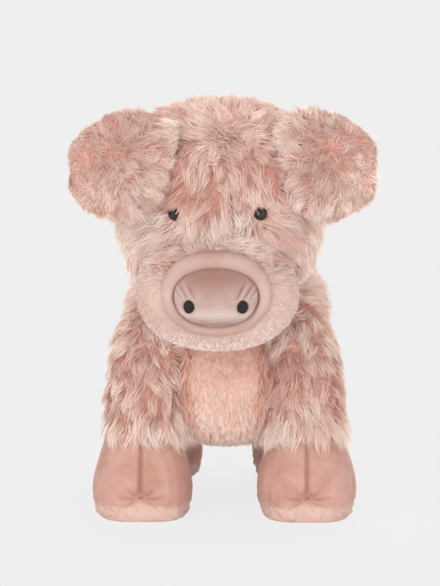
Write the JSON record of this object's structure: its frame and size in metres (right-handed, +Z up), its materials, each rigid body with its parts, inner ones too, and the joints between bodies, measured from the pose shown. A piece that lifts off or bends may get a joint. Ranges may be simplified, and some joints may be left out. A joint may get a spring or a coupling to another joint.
{
  "type": "plush pig",
  "caption": "Standing stuffed pig with long curly pile, a velvet snout and hooves, two button eyes, flapping ears, and a head and legs that swing.",
  "frame": {"origin": "on the floor, under the middle of the bounding box", "axes": "+Z up, the pig faces -Y, and its own left side is +X"},
  "size_m": [0.2486, 0.36, 0.3534],
  "materials": {
    "body_cover": "long-pile plush",
    "belly_panel": "short-pile plush",
    "body_stuffing": "polyester fibre",
    "neck_stuffing": "polyester fibre",
    "head_cover": "long-pile plush",
    "head_stuffing": "polyester fibre",
    "muzzle_cover": "short-pile plush",
    "muzzle_stuffing": "polyester fibre",
    "snout_roll": "velvet",
    "snout_pad": "velvet",
    "nostril_left": "satin stitch",
    "nostril_right": "satin stitch",
    "eye_left": "gloss",
    "eye_right": "gloss",
    "eye_washer_left": "moulded, matt",
    "eye_washer_right": "moulded, matt",
    "ear_left_front": "long-pile plush",
    "ear_left_back": "long-pile plush",
    "ear_right_front": "long-pile plush",
    "ear_right_back": "long-pile plush",
    "leg_front_left_sleeve": "long-pile plush",
    "leg_front_left_stuffing": "polyester fibre",
    "hoof_front_left": "velvet",
    "sole_front_left": "velvet",
    "leg_front_right_sleeve": "long-pile plush",
    "leg_front_right_stuffing": "polyester fibre",
    "hoof_front_right": "velvet",
    "sole_front_right": "velvet",
    "leg_hind_left_sleeve": "long-pile plush",
    "leg_hind_left_stuffing": "polyester fibre",
    "hoof_hind_left": "velvet",
    "sole_hind_left": "velvet",
    "leg_hind_right_sleeve": "long-pile plush",
    "leg_hind_right_stuffing": "polyester fibre",
    "hoof_hind_right": "velvet",
    "sole_hind_right": "velvet",
    "tail": "velvet"
  },
  "bodies": {
    "torso": {"body_cover": "body_cover", "belly_panel": "belly_panel", "body_stuffing": "body_stuffing"},
    "neck": {"neck_stuffing": "neck_stuffing"},
    "head": {"head_cover": "head_cover", "head_stuffing": "head_stuffing", "muzzle_cover": "muzzle_cover", "muzzle_stuffing": "muzzle_stuffing", "snout_roll": "snout_roll", "snout_pad": "snout_pad", "nostril_left": "nostril_left", "nostril_right": "nostril_right", "eye_left": "eye_left", "eye_right": "eye_right", "eye_washer_left": "eye_washer_left", "eye_washer_right": "eye_washer_right"},
    "ear_left": {"ear_left_front": "ear_left_front", "ear_left_back": "ear_left_back"},
    "ear_right": {"ear_right_front": "ear_right_front", "ear_right_back": "ear_right_back"},
    "leg_front_left": {"leg_front_left_sleeve": "leg_front_left_sleeve", "leg_front_left_stuffing": "leg_front_left_stuffing", "hoof_front_left": "hoof_front_left", "sole_front_left": "sole_front_left"},
    "leg_front_right": {"leg_front_right_sleeve": "leg_front_right_sleeve", "leg_front_right_stuffing": "leg_front_right_stuffing", "hoof_front_right": "hoof_front_right", "sole_front_right": "sole_front_right"},
    "leg_hind_left": {"leg_hind_left_sleeve": "leg_hind_left_sleeve", "leg_hind_left_stuffing": "leg_hind_left_stuffing", "hoof_hind_left": "hoof_hind_left", "sole_hind_left": "sole_hind_left"},
    "leg_hind_right": {"leg_hind_right_sleeve": "leg_hind_right_sleeve", "leg_hind_right_stuffing": "leg_hind_right_stuffing", "hoof_hind_right": "hoof_hind_right", "sole_hind_right": "sole_hind_right"},
    "tail": {"tail": "tail"}
  },
  "joints": [
    {"name": "head_nod", "type": "hinge", "parent": "torso", "child": "neck", "pos_m": [0, -0.05, 0.201], "axis": [1, 0, 0], "range_deg": [-8, 8], "stiffness_Nm_per_rad": 8},
    {"name": "head_turn", "type": "hinge", "parent": "neck", "child": "head", "pos_m": [0, -0.05, 0.201], "axis": [0, 0, 1], "range_deg": [-20, 20], "stiffness_Nm_per_rad": 4},
    {"name": "ear_left_flap", "type": "hinge", "parent": "head", "child": "ear_left", "pos_m": [0.05312, -0.12359, 0.30297], "axis": [0.1936, -0.2083, -0.9587], "range_deg": [-10, 10], "stiffness_Nm_per_rad": 0.1},
    {"name": "ear_right_flap", "type": "hinge", "parent": "head", "child": "ear_right", "pos_m": [-0.04871, -0.13161, 0.30297], "axis": [-0.2322, -0.1911, -0.9537], "range_deg": [-10, 10], "stiffness_Nm_per_rad": 0.1},
    {"name": "leg_front_left_swing", "type": "hinge", "parent": "torso", "child": "leg_front_left", "pos_m": [0.0341, -0.046, 0.145], "axis": [1, 0, 0], "range_deg": [-10, 10], "stiffness_Nm_per_rad": 2},
    {"name": "leg_front_right_swing", "type": "hinge", "parent": "torso", "child": "leg_front_right", "pos_m": [-0.0341, -0.046, 0.145], "axis": [1, 0, 0], "range_deg": [-10, 10], "stiffness_Nm_per_rad": 2},
    {"name": "leg_hind_left_swing", "type": "hinge", "parent": "torso", "child": "leg_hind_left", "pos_m": [0.02993, 0.121, 0.145], "axis": [1, 0, 0], "range_deg": [-10, 10], "stiffness_Nm_per_rad": 2},
    {"name": "leg_hind_right_swing", "type": "hinge", "parent": "torso", "child": "leg_hind_right", "pos_m": [-0.02993, 0.121, 0.145], "axis": [1, 0, 0], "range_deg": [-10, 10], "stiffness_Nm_per_rad": 2},
    {"name": "tail_wag", "type": "hinge", "parent": "torso", "child": "tail", "pos_m": [0, 0.16284, 0.175], "axis": [0, 0, 1], "range_deg": [-15, 15], "stiffness_Nm_per_rad": 0.02}
  ]
}
